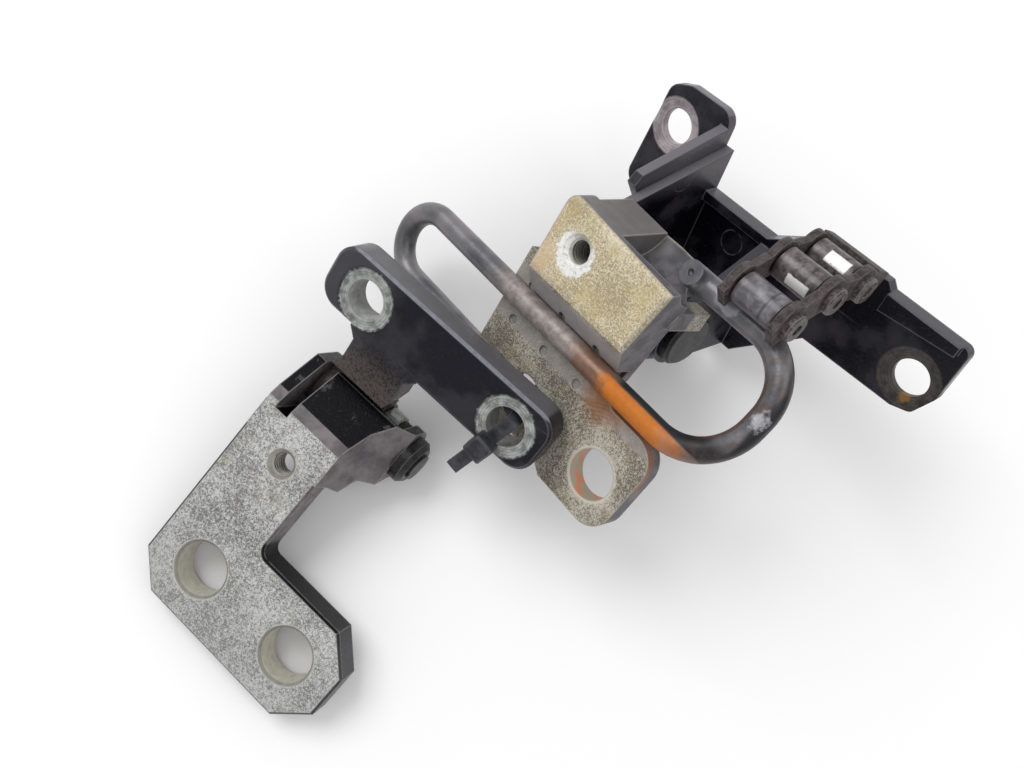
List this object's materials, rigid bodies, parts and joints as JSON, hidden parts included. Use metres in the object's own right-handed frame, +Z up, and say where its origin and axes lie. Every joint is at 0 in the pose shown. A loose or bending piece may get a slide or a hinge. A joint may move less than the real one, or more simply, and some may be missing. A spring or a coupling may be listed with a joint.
{
  "type": "door limiter strap",
  "caption": "Bundled vehicle door hinges, plain and with a door check: a bent spring rod that runs over a comb of rollers, tied by a cable tie.",
  "frame": {"origin": "centre of the bounding box's bottom face; the part rests on z = 0 on the left door bracket's foot and the right body bracket's web corner", "axes": "+Z up from the table it lies on; +X to the right and +Y away, as seen from the front"},
  "size_m": [0.2228, 0.1808, 0.088],
  "materials": {
    "zinc_grey": "zinc plated, worn",
    "gloss_black": "gloss black paint over steel, dusty",
    "zinc_yellow": "yellow passivated zinc, worn",
    "rod_steel": "dark phosphated spring steel, rusty in places",
    "pin_dark": "dark oiled steel",
    "bush_bronze": "sintered bronze, oiled",
    "sleeve_light": "smooth light steel",
    "washer_dark": "dark textured steel",
    "comb_brown": "steel under brown grease",
    "roller_steel": "smooth ground steel",
    "cap_steel": "plain steel with grease",
    "tie_black": "dark grey nylon"
  },
  "bodies": {
    "tied_halves": {"right_door_bracket": "zinc_yellow", "right_upper_bush": "bush_bronze", "right_lower_bush": "bush_bronze", "check_rod": "rod_steel", "left_body_leaf": "gloss_black", "left_pin_bush": "bush_bronze", "cable_tie_band": "tie_black", "cable_tie_head": "tie_black"},
    "right_body_half": {"body_channel": "gloss_black", "ear_plate": "gloss_black", "right_hinge_pin": "pin_dark", "right_retaining_ring": "pin_dark", "roller_cage": "comb_brown", "roller_cap_1": "cap_steel", "roller_cap_2": "cap_steel", "roller_cap_3": "cap_steel", "roller_stud_1": "roller_steel", "roller_stud_2": "roller_steel", "roller_stud_3": "roller_steel"},
    "left_door_half": {"left_door_bracket": "zinc_grey", "left_hinge_pin": "pin_dark", "left_pin_collar": "pin_dark", "left_pin_sleeve": "sleeve_light", "left_friction_washer": "washer_dark"},
    "check_roller_1": {"roller_1": "roller_steel"},
    "check_roller_2": {"roller_2": "roller_steel"},
    "check_roller_3": {"roller_3": "roller_steel"}
  },
  "joints": [
    {"name": "right_hinge", "type": "hinge", "parent": "tied_halves", "child": "right_body_half", "pos_m": [0.03928, 0.02153, 0.03063], "axis": [0.6047, -0.7385, 0.2984], "range_deg": [-35, 35]},
    {"name": "left_hinge", "type": "hinge", "parent": "tied_halves", "child": "left_door_half", "pos_m": [-0.04726, -0.00576, 0.01211], "axis": [0.7341, -0.679, 0], "range_deg": [0, 65]},
    {"name": "roller_1_spin", "type": "hinge", "parent": "right_body_half", "child": "check_roller_1", "pos_m": [0.05537, 0.00924, 0.08021], "axis": [0.6047, -0.7385, 0.2984], "continuous": true},
    {"name": "roller_2_spin", "type": "hinge", "parent": "right_body_half", "child": "check_roller_2", "pos_m": [0.06633, 0.01675, 0.0766], "axis": [0.6047, -0.7385, 0.2984], "continuous": true},
    {"name": "roller_3_spin", "type": "hinge", "parent": "right_body_half", "child": "check_roller_3", "pos_m": [0.07655, 0.02208, 0.06908], "axis": [0.6047, -0.7385, 0.2984], "continuous": true}
  ]
}
